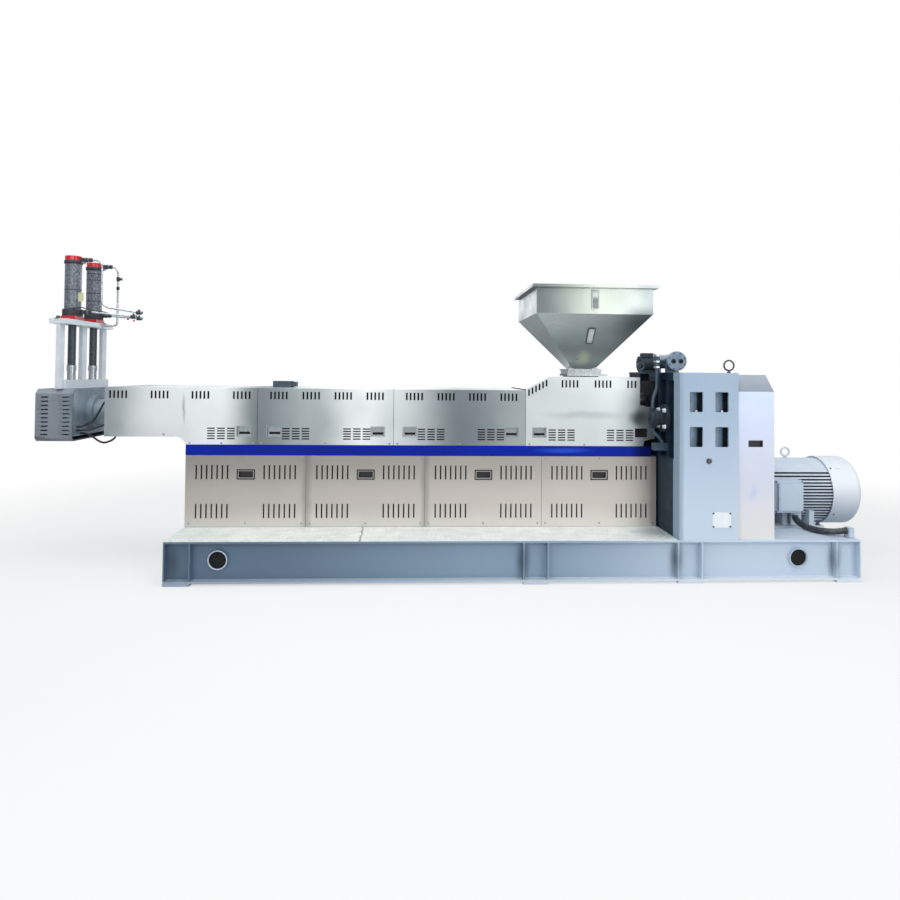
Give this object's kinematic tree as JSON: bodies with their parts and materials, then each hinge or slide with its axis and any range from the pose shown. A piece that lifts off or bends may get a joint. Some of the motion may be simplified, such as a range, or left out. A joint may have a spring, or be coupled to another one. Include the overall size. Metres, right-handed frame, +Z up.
{
  "type": "single screw extruder",
  "caption": "Single screw plastics extruder on a steel base: feed hopper, covered barrel, gearbox, drive motor and a hydraulic column screen changer at the nose.",
  "frame": {"origin": "middle of the base on the floor, where the anchor pattern is centred", "axes": "+Z up, +X along the machine towards the drive motor, -Y the operator's side with the recessed pulls and gearbox windows in the picture"},
  "size_m": [6.7325, 1.712, 2.463],
  "materials": {
    "painted_steel_blue": "satin grey-blue paint",
    "checker_plate": "bright steel plate with raised lugs",
    "frame_paint": "satin grey paint",
    "panel_steel": "satin stainless sheet",
    "black_plastic": "matt black",
    "blue_enamel": "glossy deep blue",
    "machined_steel": "machined steel",
    "cover_steel": "bright stainless sheet",
    "feed_paint": "satin blue-grey paint",
    "guard_paint": "satin mid grey paint",
    "white_paint": "satin white paint",
    "wrapped_film": "dark protective wrap",
    "red_paint": "glossy red paint",
    "gear_paint": "satin light grey-blue paint",
    "dark_cast": "dark painted casting",
    "motor_paint": "satin light grey paint"
  },
  "bodies": {
    "machine": {"base_front_beam": "painted_steel_blue", "base_rear_beam": "painted_steel_blue", "base_cross_members": "painted_steel_blue", "foot_plates": "painted_steel_blue", "drive_deck": "painted_steel_blue", "motor_bed": "painted_steel_blue", "walkway_front": "checker_plate", "walkway_rear": "checker_plate", "cabinet_frame": "frame_paint", "barrel_supports": "frame_paint", "front_lower_panels": "panel_steel", "rear_lower_panels": "panel_steel", "cabinet_end_panels": "panel_steel", "lower_panel_pulls": "black_plastic", "heater_leads": "black_plastic", "motor_conduit": "black_plastic", "blue_band": "blue_enamel", "barrel": "machined_steel", "heater_bands": "machined_steel", "melt_adapter": "machined_steel", "changer_body": "machined_steel", "output_flange": "machined_steel", "nose_cover": "cover_steel", "zone_1_cover": "cover_steel", "zone_2_cover": "cover_steel", "zone_3_cover": "cover_steel", "feed_cover": "cover_steel", "cover_pulls": "cover_steel", "hopper_body": "cover_steel", "hopper_rim": "cover_steel", "hopper_flange": "cover_steel", "sight_glasses": "cover_steel", "coupling_guard": "cover_steel", "hydraulic_lines": "cover_steel", "feed_housing": "feed_paint", "junction_box": "feed_paint", "gearbox_housing": "feed_paint", "oil_cooler": "feed_paint", "changer_guard": "guard_paint", "changer_frame": "white_paint", "frame_top_plate": "white_paint", "hydraulic_cylinders": "wrapped_film", "cylinder_caps": "red_paint", "cylinder_flanges": "red_paint", "gearbox_front_plate": "gear_paint", "gearbox_rear_plate": "gear_paint", "oil_pump": "dark_cast", "oil_pipes": "dark_cast", "pump_shelf": "dark_cast", "lube_motor": "dark_cast", "lifting_eyes": "dark_cast", "motor_frame": "motor_paint", "fan_cowl": "motor_paint", "terminal_box": "motor_paint"},
    "front_ram": {"front_piston_rod": "wrapped_film", "front_screen_column": "machined_steel"},
    "rear_ram": {"rear_piston_rod": "wrapped_film", "rear_screen_column": "machined_steel"}
  },
  "joints": [
    {"name": "front_ram_slide", "type": "slide", "parent": "machine", "child": "front_ram", "axis": [0, 0, 1], "range_m": [0, 0.3]},
    {"name": "rear_ram_slide", "type": "slide", "parent": "machine", "child": "rear_ram", "axis": [0, 0, 1], "range_m": [0, 0.3]}
  ]
}
